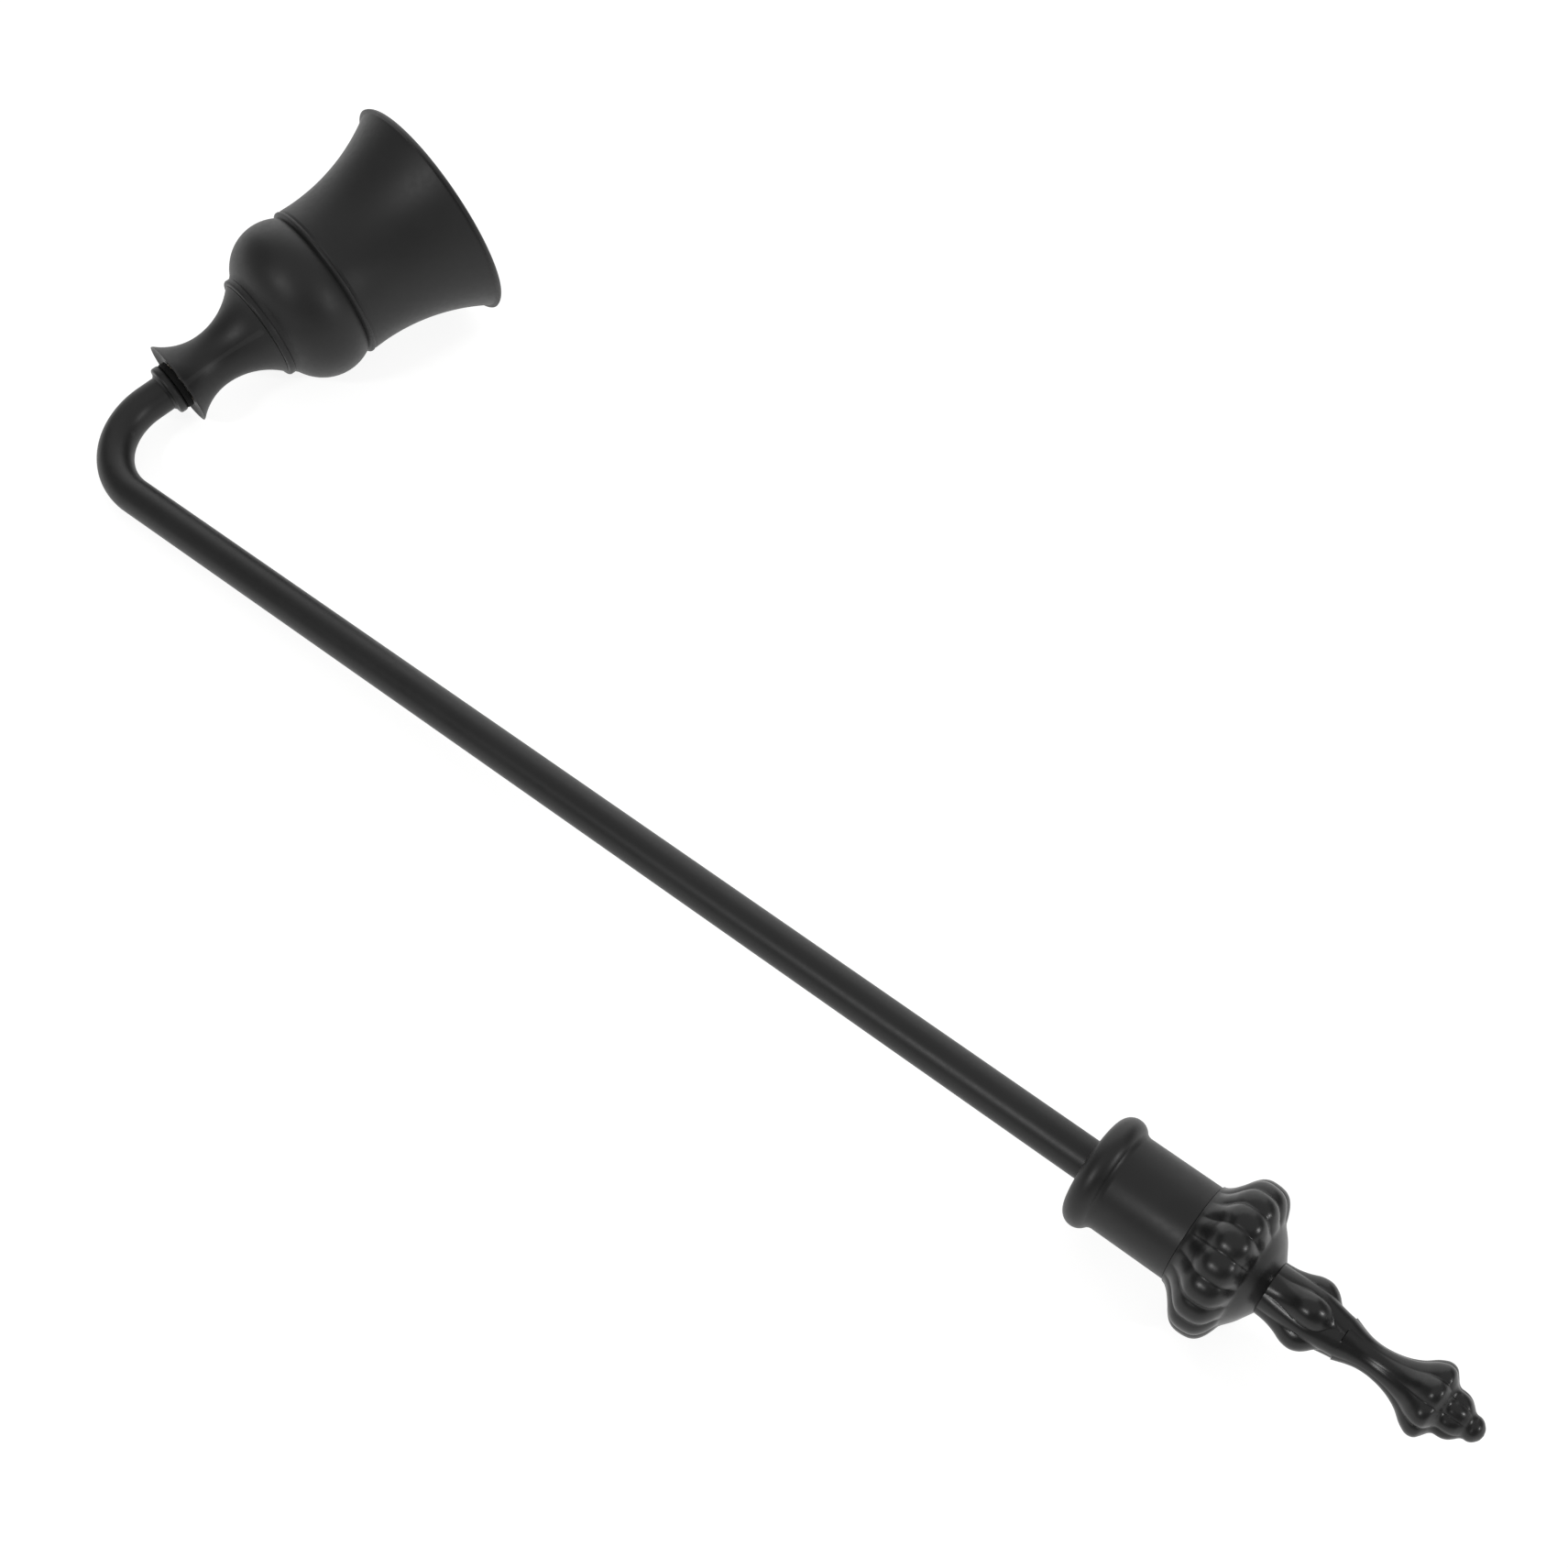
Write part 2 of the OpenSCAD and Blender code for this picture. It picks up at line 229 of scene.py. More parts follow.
@dataclass
class Shape:
    """Vertices and faces gathered for one piece, in leg coordinates in millimetres."""

    vertices: list[Vector] = field(default_factory=list)
    faces: list[list[int]] = field(default_factory=list)

    def rings(self, rings: Sequence[Sequence[Vector]], closed: bool) -> None:
        """Joins rings of equal length into a skin.

        Args:
            rings: The rings in order.
            closed: Whether the last ring joins the first.
        """
        start = len(self.vertices)
        size = len(rings[0])
        for ring in rings:
            self.vertices.extend(ring)
        pairs = len(rings) if closed else len(rings) - 1
        for i in range(pairs):
            a = start + i * size
            b = start + ((i + 1) % len(rings)) * size
            for k in range(size):
                n = (k + 1) % size
                self.faces.append([a + k, a + n, b + n, b + k])

    def turned(self, outline: Sequence[Point], closed: bool, segments: int = 144,
               relief: Optional[Relief] = None) -> "Shape":
        """Adds a body of revolution about z.

        Args:
            outline: Station and radius of each point, mm.
            closed: Whether the outline is a loop, as for a shell or ring.
            segments: Spans round the axis.
            relief: How far the surface is cut in at station, radius and angle, mm.

        Returns:
            This shape.
        """
        count = len(outline)
        rings = []
        for i, (z, r) in enumerate(outline):
            before = outline[i - 1] if closed or i > 0 else outline[i]
            after = outline[(i + 1) % count] if closed or i < count - 1 else outline[i]
            span = math.dist(before, after) or 1.0
            nz = -(after[1] - before[1]) / span
            nr = (after[0] - before[0]) / span
            ring = []
            for k in range(segments):
                phi = math.tau * k / segments
                cut = relief(z, r, phi) if relief else 0.0
                radius = max(r - cut * nr, 0.0)
                ring.append(Vector((radius * math.cos(phi), radius * math.sin(phi), z - cut * nz)))
            rings.append(ring)
        self.rings(rings, closed)
        return self

    def piece(self, name: str, leg: Leg, sharp_degrees: float = 38.0) -> bpy.types.Object:
        """Makes the object, with its vertices in the row frame.

        Each vertex keeps its leg coordinates in the attribute "turned", so that finishes can follow the
        piece's own axis.

        Args:
            name: Object name.
            leg: The leg whose coordinates the shape is in.
            sharp_degrees: Edges sharper than this stay crisp.

        Returns:
            The object, linked to the scene.
        """
        mesh = bpy.data.meshes.new(name)
        mesh.from_pydata([v * MM for v in self.vertices], [], self.faces)
        work = bmesh.new()
        work.from_mesh(mesh)
        bmesh.ops.remove_doubles(work, verts=work.verts, dist=1e-6)
        bmesh.ops.recalc_face_normals(work, faces=work.faces)
        work.to_mesh(mesh)
        work.free()
        turned = mesh.attributes.new("turned", "FLOAT_VECTOR", "POINT")
        for vertex, value in zip(mesh.vertices, turned.data):
            value.vector = vertex.co
        mesh.transform(leg.matrix())
        mesh.shade_smooth()
        mesh.set_sharp_from_angle(angle=math.radians(sharp_degrees))
        obj = bpy.data.objects.new(name, mesh)
        bpy.context.scene.collection.objects.link(obj)
        return obj


# ---------------------------------------------------------------------------------------------------
# Finishes
# ---------------------------------------------------------------------------------------------------


def linear(hex_colour: str) -> tuple[float, float, float, float]:
    """An sRGB hex colour as linear RGBA.

    Args:
        hex_colour: Such as "#1c1c1e".

    Returns:
        Linear red, green, blue and an alpha of 1.
    """
    parts = [int(hex_colour[i:i + 2], 16) / 255 for i in (1, 3, 5)]
    rgb = [c / 12.92 if c <= 0.04045 else ((c + 0.055) / 1.055) ** 2.4 for c in parts]
    return (*rgb, 1.0)


def add_node(tree: bpy.types.NodeTree, kind: str, settings: Optional[dict[str, Any]] = None,
             links: Optional[dict[str, bpy.types.NodeSocket]] = None) -> bpy.types.Node:
    """Adds a node with its settings and links.

    Args:
        tree: The node tree.
        kind: Node type, such as "ShaderNodeBump".
        settings: Value of each input socket or node property, by name.
        links: Socket that feeds each input, by the input's name.

    Returns:
        The new node.
    """
    node = tree.nodes.new(kind)
    for name, value in (settings or {}).items():
        if name in node.inputs:
            node.inputs[name].default_value = value
        else:
            setattr(node, name, value)
    for name, socket in (links or {}).items():
        tree.links.new(socket, node.inputs[name])
    return node


@dataclass(frozen=True)
class Finish:
    """A procedural surface; each kind of surface fills in its own shader."""

    name: str

    def material(self) -> bpy.types.Material:
        """Builds the material, or hands back the one already made.

        Returns:
            The material.
        """
        made = bpy.data.materials.get(self.name)
        if made:
            return made
        made = bpy.data.materials.new(self.name)
        made.use_nodes = True
        tree = made.node_tree
        tree.nodes.clear()
        shader = self.shader(tree)
        add_node(tree, "ShaderNodeOutputMaterial", links={"Surface": shader.outputs[0]})
        return made

    def shader(self, tree: bpy.types.NodeTree) -> bpy.types.Node:
        """Adds the shader node and what feeds it.

        Args:
            tree: The material's node tree.

        Returns:
            The shader node.
        """
        raise NotImplementedError

    @staticmethod
    def noise(tree: bpy.types.NodeTree, place: bpy.types.NodeSocket, grain_mm: float, detail: float,
              rough: float = 0.5) -> bpy.types.NodeSocket:
        """Noise in blobs of a real size.

        Args:
            tree: The material's node tree.
            place: Position that the noise follows.
            grain_mm: Width of a blob, mm.
            detail: Number of finer layers.
            rough: Weight of the finer layers.

        Returns:
            Noise from 0 to 1, with a mean of 0.5.
        """
        made = add_node(tree, "ShaderNodeTexNoise",
                        {"Scale": 1.0 / (grain_mm * MM), "Detail": detail, "Roughness": rough},
                        {"Vector": place})
        return made.outputs["Fac"]

    @staticmethod
    def remap(tree: bpy.types.NodeTree, value: bpy.types.NodeSocket, source: Point,
              target: Point) -> bpy.types.NodeSocket:
        """Carries a value from one range to another and holds it inside.

        Args:
            tree: The material's node tree.
            value: The value.
            source: Range that it comes from.
            target: Range that it goes to.

        Returns:
            The new value.
        """
        made = add_node(tree, "ShaderNodeMapRange",
                        {"From Min": source[0], "From Max": source[1],
                         "To Min": target[0], "To Max": target[1]},
                        {"Value": value})
        return made.outputs["Result"]

    @staticmethod
    def blend(tree: bpy.types.NodeTree, amount: bpy.types.NodeSocket, low: str,
              high: str) -> bpy.types.NodeSocket:
        """Blends two plain colours.

        Args:
            tree: The material's node tree.
            amount: Share of the second colour, 0 to 1.
            low: First colour, sRGB hex.
            high: Second colour, sRGB hex.

        Returns:
            The blended colour.
        """
        made = add_node(tree, "ShaderNodeMix", {"data_type": "RGBA"}, {"Factor": amount})
        made.inputs[6].default_value = linear(low)
        made.inputs[7].default_value = linear(high)
        return made.outputs[2]

    @staticmethod
    def bump(tree: bpy.types.NodeTree, height: bpy.types.NodeSocket, depth_mm: float,
             under: Optional[bpy.types.NodeSocket] = None) -> bpy.types.NodeSocket:
        """Bump of a real depth.

        Args:
            tree: The material's node tree.
            height: Height from 0 to 1.
            depth_mm: Depth that a height of 1 stands for, mm.
            under: Bump that it lies on, if there is one.

        Returns:
            The bent normal.
        """
        links = {"Height": height}
        if under:
            links["Normal"] = under
        made = add_node(tree, "ShaderNodeBump", {"Strength": 1.0, "Distance": depth_mm * MM}, links)
        return made.outputs["Normal"]


@dataclass(frozen=True)
class BlackCoat(Finish):
    """Sprayed black film: an even coat with a faint orange peel that softens what it reflects.

    The peel is at the real width of its waves. The grit of the pigment is really 0.03 to 0.05 mm, too
    fine to show, so it is drawn three to four times as coarse. The clouds are the slow changes of film
    thickness over a hand's width of spray. Edges are a shade paler: partly where the film is drawn thin,
    and partly a painted highlight along crests and ridges.
    """

    deep: str = "#181818"
    pale: str = "#1c1c1c"
    # Paler colour at edges: partly where the film is thin, partly a painted highlight on crests.
    thin_film_and_highlight: str = "#262626"
    roughness: Point = (0.39, 0.45)
    peel_mm: float = 0.9
    peel_depth_mm: float = 0.0035
    grit_mm: float = 0.16
    grit_depth_mm: float = 0.0011
    cloud_mm: float = 9.0
    edge: Point = (0.53, 0.62)
    ior: float = 1.5
    specular: float = 0.34

    def shader(self, tree: bpy.types.NodeTree) -> bpy.types.Node:
        """Satin dielectric with clouded colour, uneven gloss, peel and grit.

        Args:
            tree: The material's node tree.

        Returns:
            The shader node.
        """
        place = add_node(tree, "ShaderNodeTexCoord").outputs["Object"]
        cloud = self.noise(tree, place, self.cloud_mm, 4.0)
        peel = self.noise(tree, place, self.peel_mm, 2.0)
        grit = self.noise(tree, place, self.grit_mm, 1.0)
        tone = self.remap(tree, cloud, (0.3, 0.7), (0.0, 1.0))
        body = self.blend(tree, tone, self.deep, self.pale)
        # Pointiness lightens convex edges: partly the thinner film there, partly a painted highlight.
        ridge = add_node(tree, "ShaderNodeNewGeometry").outputs["Pointiness"]
        thin_film_and_highlight_mask = self.remap(tree, ridge, self.edge, (0.0, 1.0))
        colour = add_node(tree, "ShaderNodeMix", {"data_type": "RGBA"}, {"Factor": thin_film_and_highlight_mask})
        tree.links.new(body, colour.inputs[6])
        colour.inputs[7].default_value = linear(self.thin_film_and_highlight)
        uneven = add_node(tree, "ShaderNodeMath", {"operation": "ADD"})
        tree.links.new(cloud, uneven.inputs[0])
        tree.links.new(peel, uneven.inputs[1])
        gloss = self.remap(tree, uneven.outputs[0], (0.75, 1.25), self.roughness)
        skin = self.bump(tree, peel, self.peel_depth_mm)
        skin = self.bump(tree, grit, self.grit_depth_mm, skin)
        return add_node(tree, "ShaderNodeBsdfPrincipled",
                        {"IOR": self.ior, "Specular IOR Level": self.specular},
                        {"Base Color": colour.outputs[2], "Roughness": gloss, "Normal": skin})


@dataclass(frozen=True)
class TurnedMetal(Finish):
    """Bare metal off the lathe: rings of turning marks, and a dull bloom that breaks up the shine.

    Turning marks are really 0.05 to 0.1 mm apart and are drawn a little coarser, so that they show.
    """

    bright: str = "#b9bcc0"
    dull: str = "#8e9093"
    roughness: Point = (0.26, 0.46)
    bloom_mm: float = 1.6
    mark_mm: float = 0.12
    mark_depth_mm: float = 0.002
    rings_per_scale: float = 0.3

    def shader(self, tree: bpy.types.NodeTree) -> bpy.types.Node:
        """Metal with rings that follow the piece's own axis.

        Args:
            tree: The material's node tree.

        Returns:
            The shader node.
        """
        place = add_node(tree, "ShaderNodeTexCoord").outputs["Object"]
        own = add_node(tree, "ShaderNodeAttribute", {"attribute_name": "turned"}).outputs["Vector"]
        bloom = self.noise(tree, place, self.bloom_mm, 5.0)
        marks = add_node(tree, "ShaderNodeTexWave",
                         {"wave_type": "RINGS", "rings_direction": "Z",
                          "Scale": self.rings_per_scale / (self.mark_mm * MM),
                          "Distortion": 0.6, "Detail": 2.0}, {"Vector": own}).outputs["Fac"]
        tone = self.remap(tree, bloom, (0.35, 0.65), (0.0, 1.0))
        gloss = self.remap(tree, bloom, (0.35, 0.65), self.roughness)
        return add_node(tree, "ShaderNodeBsdfPrincipled", {"Metallic": 1.0},
                        {"Base Color": self.blend(tree, tone, self.bright, self.dull),
                         "Roughness": gloss, "Normal": self.bump(tree, marks, self.mark_depth_mm)})


@dataclass(frozen=True)
class PressedFibre(Finish):
    """Vulcanised fibre dyed black: dead matt, with short felted strands.

    The strands are really about 0.03 mm thick and are drawn as tufts of several.
    """

    deep: str = "#0b0b0b"
    pale: str = "#151514"
    strand_mm: float = 0.25
    strand_depth_mm: float = 0.02

    def shader(self, tree: bpy.types.NodeTree) -> bpy.types.Node:
        """Rough dielectric with a felted bump.

        Args:
            tree: The material's node tree.

        Returns:
            The shader node.
        """
        place = add_node(tree, "ShaderNodeTexCoord").outputs["Object"]
        strands = self.noise(tree, place, self.strand_mm, 6.0, 0.7)
        tone = self.remap(tree, strands, (0.35, 0.65), (0.0, 1.0))
        return add_node(tree, "ShaderNodeBsdfPrincipled", {"Specular IOR Level": 0.25},
                        {"Base Color": self.blend(tree, tone, self.deep, self.pale),
                         "Roughness": self.remap(tree, strands, (0.3, 0.7), (0.72, 0.9)),
                         "Normal": self.bump(tree, strands, self.strand_depth_mm)})


@dataclass(frozen=True)
class GlowingAcrylic(Finish):
    """Translucent acrylic lit from below: an even pale glow that takes the shadows away.

    Most light goes through the sheet, so its own colour is much darker than it looks when lit.
    """

    pale: str = "#8c8c8b"
    shade: str = "#868685"
    grain_mm: float = 1.5
    glow: float = 0.88

    def shader(self, tree: bpy.types.NodeTree) -> bpy.types.Node:
        """Matt sheet with faint mottling and a glow of its own.

        Args:
            tree: The material's node tree.

        Returns:
            The shader node.
        """
        place = add_node(tree, "ShaderNodeTexCoord").outputs["Object"]
        grain = self.noise(tree, place, self.grain_mm, 3.0)
        return add_node(tree, "ShaderNodeBsdfPrincipled",
                        {"Roughness": 0.9, "Specular IOR Level": 0.1,
                         "Emission Color": linear("#ffffff"), "Emission Strength": self.glow},
                        {"Base Color": self.blend(tree, grain, self.pale, self.shade)})


# Powder coat baked on drawn steel: satin, with one soft line of light along the rod.
SATIN_BLACK = BlackCoat("satin_black_powder_coat")
# The same coat on spun sheet, whose fine spinning lines make it duller: wide, weak spots of light.
SPUN_BLACK = BlackCoat("satin_black_powder_coat_on_spun_metal", roughness=(0.44, 0.5))
# Sprayed lacquer on a casting: darker and glossier, with small bright spots and a wavy skin. Its paler edges
# are partly thinner film and partly a painted highlight.
GLOSS_BLACK = BlackCoat("black_lacquer_over_casting", deep="#131313", pale="#171717", thin_film_and_highlight="#202020",
                        roughness=(0.29, 0.36), peel_mm=1.6, peel_depth_mm=0.006, grit_mm=0.3,
                        grit_depth_mm=0.001, edge=(0.54, 0.64), specular=0.38)
# Zinc plated on turned steel: cool bright grey with a milky bloom.
ZINC = TurnedMetal("zinc_plated_steel")
# Brass turned and left bare: warm yellow, browner where it has tarnished.
BRASS = TurnedMetal("turned_brass", bright="#c9a55a", dull="#97783b", roughness=(0.24, 0.42))
# Paper fibre pressed hard and dyed: the darkest and dullest piece.
FIBRE = PressedFibre("black_vulcanised_fibre")
# Opal acrylic over a lit box: plain white, nearly without shadows.
FLOOR_SHEET = GlowingAcrylic("opal_acrylic_sheet")


@dataclass(frozen=True)
class Fitting:
    """Puts finished pieces on their bodies and reports them."""

    body: Body

    def place(self, obj: bpy.types.Object, finish: Finish, slot: Slot, *nodes: str) -> bpy.types.Object:
        """Dresses a piece, rides it on its body and lets it stand for CAD nodes.

        Args:
            obj: The piece, in place in the row frame.
            finish: Its finish.
            slot: The record's material slot. Not used.
            nodes: CAD nodes that it stands for.

        Returns:
            The piece.
        """
        obj.data.materials.clear()
        obj.data.materials.append(finish.material())
        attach(obj, self.body.value)
        if nodes:
            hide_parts(*nodes)
        LOG.info("%s on %s, %s, %d faces", obj.name, self.body.value, finish.name, len(obj.data.polygons))
        return obj


# ---------------------------------------------------------------------------------------------------
# Sub-assemblies
# ---------------------------------------------------------------------------------------------------


@dataclass(frozen=True)
class BentRod:
    """The 6 mm rod with its bend and its two threaded spigots."""

    legs: Layout
    radius: float = 3.0
    bend_radius: float = 12.0
    spigot_radius: float = 2.5
    bell_shoulder: float = 19.7
    bell_tip: float = 46.3
    thread_start: float = 37.0
    handle_shoulder: float = 211.4
    handle_tip: float = 224.6
    thread_pitch: float = 0.8
    thread_depth: float = 0.32
    thread_run_out: float = 1.2
    tip_chamfer: float = 0.6
    edge: float = 0.15
    root: float = 0.5
    bend_steps: int = 48
    segments: int = 64

    def build(self) -> None:
        """Makes the coated rod and its bare spigot ends."""
        fitting = Fitting(Body.HANDLE)
        fitting.place(self._rod(), SATIN_BLACK, Slot.SATIN, "bent_rod")
        bell_spigot = self._spigot(self.bell_shoulder, self.bell_tip, self.thread_start)
        fitting.place(bell_spigot.piece("bell_spigot", self.legs.bell()), ZINC, Slot.ZINC)
        handle_spigot = self._spigot(self.handle_shoulder, self.handle_tip, self.handle_shoulder + 1)
        fitting.place(handle_spigot.piece("handle_spigot", self.legs.rod()), ZINC, Slot.ZINC)

    def _rod(self) -> bpy.types.Object:
        """One skin swept down the short leg, round the bend and along the long leg.

        Returns:
            The coated rod.
        """
        rod = self.legs.rod()
        along = Vector((0, 0, 1))
        up = Vector((-1, 0, 0))
        down = (rod.matrix().inverted().to_3x3() @ self.legs.bell().direction).normalized()
        inward = up.cross(along)
        turn = math.pi - along.angle(down)
        tangent = self.bend_radius * math.tan(turn / 2)
        centre = along * tangent + inward * self.bend_radius
        bend = []
        for i in range(1, self.bend_steps):
            angle = turn * (1 - i / self.bend_steps)
            spoke = Matrix.Rotation(-angle, 3, up) @ -inward
            bend.append((centre + spoke * self.bend_radius, self.radius))
        short = self._run(down * tangent, down * self.bell_shoulder)
        long = self._run(along * tangent, along * self.handle_shoulder)
        stations = [*reversed(short), *bend, *long]
        turns = [math.tau * k / self.segments for k in range(self.segments)]
        skins = []
        for (place, radius), heading in zip(stations, self._headings([p for p, _ in stations])):
            side = heading.cross(up).normalized()
            skins.append([place + (side * math.cos(t) + up * math.sin(t)) * radius for t in turns])
        shape = Shape()
        shape.rings(skins, False)
        return shape.piece("coated_rod", rod)

    def _run(self, start: Vector, end: Vector) -> list[tuple[Vector, float]]:
        """Stations on a straight run, with its far end closed by a small round edge.

        Args:
            start: Where the run leaves the bend, mm.
            end: The shoulder at its far end, mm.

        Returns:
            Place and radius of each station.
        """
        heading = (end - start).normalized()
        length = (end - start).length
        steps = max(2, round(length / 4))
        run = [(start + heading * (i / steps * length), self.radius) for i in range(steps)]
        return [*run, (end - heading * self.edge, self.radius),
                (end - heading * self.edge * 0.3, self.radius - self.edge * 0.3),
                (end, self.radius - self.edge), (end, 0.0)]

    @staticmethod
    def _headings(places: Sequence[Vector]) -> list[Vector]:
        """Heading of the line at each of its places.

        Args:
            places: Places along the line, where neighbours may coincide.

        Returns:
            Unit headings, from the nearest places that are apart from each.
        """
        apart = 1e-4
        last = len(places) - 1
        headings = []
        for i, here in enumerate(places):
            low, high = i, i
            while low > 0 and (places[low] - here).length < apart:
                low -= 1
            while high < last and (places[high] - here).length < apart:
                high += 1
            headings.append((places[high] - places[low]).normalized())
        return headings

    def _spigot(self, start: float, end: float, thread_start: float) -> Shape:
        """A turned spigot whose thread is a real helix.

        Args:
            start: Station of the shoulder it grows from, mm.
            end: Station of its tip, mm.
            thread_start: Station where the thread begins, mm.

        Returns:
            The shape, in leg coordinates.
        """
        foot = start - self.root
        outline = resampled([(foot, self.spigot_radius), (thread_start, self.spigot_radius)], 2.0)
        outline += resampled([(thread_start, self.spigot_radius),
                              (end - self.tip_chamfer, self.spigot_radius)], 0.1)[1:]
        outline += [(end, self.spigot_radius - self.tip_chamfer), (end, 0.0)]

        def thread(z: float, r: float, phi: float) -> float:
            """Depth of a 60 degree groove that winds round the spigot.

            Args:
                z: Station, mm.
                r: Radius before cutting, mm.
                phi: Angle round the axis.

            Returns:
                Depth in mm.
            """
            if z < thread_start or r < self.spigot_radius - 0.01:
                return 0.0
            phase = (z / self.thread_pitch - phi / math.tau) % 1.0
            fade = min(1.0, (z - thread_start) / self.thread_run_out)
            return self.thread_depth * fade * (1 - abs(2 * phase - 1))

        return Shape().turned([(foot, 0.0), *outline], False, 48, thread)


@dataclass(frozen=True)
class Bell:
    """The neck, bulb and skirt that turn together on the rod's spigot."""

    legs: Layout
    wall: float = 0.95
    neck_edge_station: float = 20.6
    neck_edge_radius: float = 7.2
    neck_edge_wall: float = 0.3
    neck_floor_station: float = 21.1
    neck_floor_radius: float = 4.7
    waist_station: float = 27.6
    waist_radius: float = 4.55
    front_arc: float = 10.2
    rear_arc: float = 12.7
    lip_station: float = 36.7
    lip_radius: float = 9.2
    lip_round: float = 0.42
    lip_hug: float = 0.3
    plate_station: float = 37.7
    boss_radius: float = 4.4
    boss_station: float = 38.8
    bush_radius: float = 3.5
    bush_bore: float = 2.55
    bulb_station: float = 46.0
    bulb_radius: float = 14.13
    bulb_arc: float = 8.5
    brow_station: float = 38.6
    brow_radius: float = 9.25
    seam_station: float = 50.35
    seam_radius: float = 12.75
    lap_station: float = 52.8
    skirt_lip_radius: float = 13.67
    skirt_lip_length: float = 1.3
    skirt_waist_station: float = 53.5
    skirt_waist_radius: float = 13.5
    mouth_station: float = 74.0
    mouth_radius: float = 19.5
    mouth_round: float = 1.1
    mouth_wall: float = 1.7
    mouth_lip: float = 1.6

    def build(self) -> None:
        """Makes the three coated shells and the brass bush."""
        fitting = Fitting(Body.BELL)
        leg = self.legs.bell()
        neck = Shape().turned(self.neck_outline(), True, 160)
        fitting.place(neck.piece("bell_neck_trumpet", leg), SPUN_BLACK, Slot.SATIN, "bell_neck")
        bulb = Shape().turned(self.bulb_outline(), True, 176)
        fitting.place(bulb.piece("bell_bulb_shell", leg), SPUN_BLACK, Slot.SATIN, "bell_bulb")
        skirt = Shape().turned(self.skirt_outline(), True, 192)
        fitting.place(skirt.piece("bell_skirt_shell", leg), SPUN_BLACK, Slot.SATIN, "bell_skirt")
        bush = Shape().turned(self.bush_outline(), True, 72)
        fitting.place(bush.piece("brass_swivel_bush", leg), BRASS, Slot.BRASS, "swivel_bush")

    def neck_outline(self) -> list[Point]:
        """Trumpet with a knife-thin concave end, a waist and a rolled lip.

        Returns:
            The closed outline, mm.
        """
        front_centre = (self.waist_station, self.waist_radius + self.front_arc)
        rear_centre = (self.waist_station, self.waist_radius + self.rear_arc)
        edge_run = self.waist_station - self.neck_edge_station
        front_reach = math.degrees(math.asin(edge_run / self.front_arc))
        lip_reach = math.degrees(math.asin((self.lip_station - self.waist_station) / self.rear_arc))
        outside = arc(front_centre, self.front_arc, 270 - front_reach, 270, 22)
        outside += arc(rear_centre, self.rear_arc, 270, 270 + lip_reach, 26)[1:]
        low = self.lip_station + 0.08
        hug = self.plate_station + self.lip_hug
        lip = rounded([(low, outside[-1][1] - 0.02, 0.0), (low, self.lip_radius, self.lip_round),
                       (hug, self.lip_radius, 0.25), (hug, self.lip_radius - 0.6, 0.0),
                       (self.plate_station, self.lip_radius - 0.9, 0.0),
                       (self.plate_station, self.boss_radius, 0.0)])
        edge_inner = self.neck_edge_radius - self.neck_edge_wall
        inside = [(self.boss_station, self.boss_radius), (self.boss_station, self.bush_radius),
                  (self.neck_floor_station, self.bush_radius),
                  (self.neck_floor_station, self.neck_floor_radius)]
        dish = arc((self.neck_edge_station - 4.2, edge_inner - 2.6), 4.94, 12, 31.8, 6)
        outside[0] = (self.neck_edge_station, self.neck_edge_radius)
        return [*outside, *lip, *inside, *dish[1:-1], (self.neck_edge_station, edge_inner)]

    def bulb_outline(self) -> list[Point]:
        """Spun bulb with a flat top plate and a lap that slides into the skirt.

        Returns:
            The closed outline, mm.
        """
        centre = (self.bulb_station, self.bulb_radius - self.bulb_arc)
        lap = math.degrees(math.asin((self.seam_radius - centre[1]) / self.bulb_arc))
        brow = math.degrees(math.acos((centre[0] - self.brow_station) / self.bulb_arc))
        outer = [(self.plate_station, self.brow_radius - 0.3), (self.plate_station + 0.35, self.brow_radius),
                 *arc(centre, self.bulb_arc, 180 - brow, lap, 40)]
        inner_arc = self.bulb_arc - self.wall
        inner_lap = math.degrees(math.asin((self.seam_radius - self.wall - centre[1]) / inner_arc))
        inner = arc(centre, inner_arc, inner_lap, 152, 36)
        plate_in = self.plate_station + self.wall
        return [(self.plate_station, self.boss_radius), *outer, (self.lap_station, self.seam_radius),
                (self.lap_station, self.seam_radius - self.wall), *inner,
                (plate_in, inner[-1][1] - 1.2), (plate_in, self.boss_radius)]

    def skirt_outline(self) -> list[Point]:
        """Flared skirt with a small lip at the seam and a rounded, thickened mouth.

        Returns:
            The closed outline, mm.
        """
        run = self.mouth_station - self.skirt_waist_station
        rise = self.mouth_radius - self.skirt_waist_radius
        sweep = (run * run + rise * rise) / (2 * rise)
        centre = (self.skirt_waist_station, self.skirt_waist_radius + sweep)
        end = self.mouth_station - self.mouth_round
        reach = math.degrees(math.asin((end - self.skirt_waist_station) / sweep))
        flare = arc(centre, sweep, 270, 270 + reach, 40)
        lip_end = self.seam_station + self.skirt_lip_length
        nick = self.skirt_waist_radius - 0.05
        seam = rounded([(self.seam_station, self.seam_radius, 0.05),
                        (self.seam_station - 0.2, self.skirt_lip_radius - 0.75, 0.02),
                        (self.seam_station + 0.3, self.skirt_lip_radius, 0.3),
                        (lip_end - 0.6, self.skirt_lip_radius, 0.2),
                        (lip_end - 0.4, nick, 0.08),
                        (lip_end, self.skirt_waist_radius + 0.05, 0.3),
                        (self.skirt_waist_station, self.skirt_waist_radius, 0.0)])
        mouth_centre = (self.mouth_station - self.mouth_round, self.mouth_radius - self.mouth_round)
        rim = arc(mouth_centre, self.mouth_round, 78, 0, 10)
        rim_inner = self.mouth_radius - self.mouth_wall
        inner_sweep = sweep + self.wall
        back = self.mouth_station - self.mouth_lip
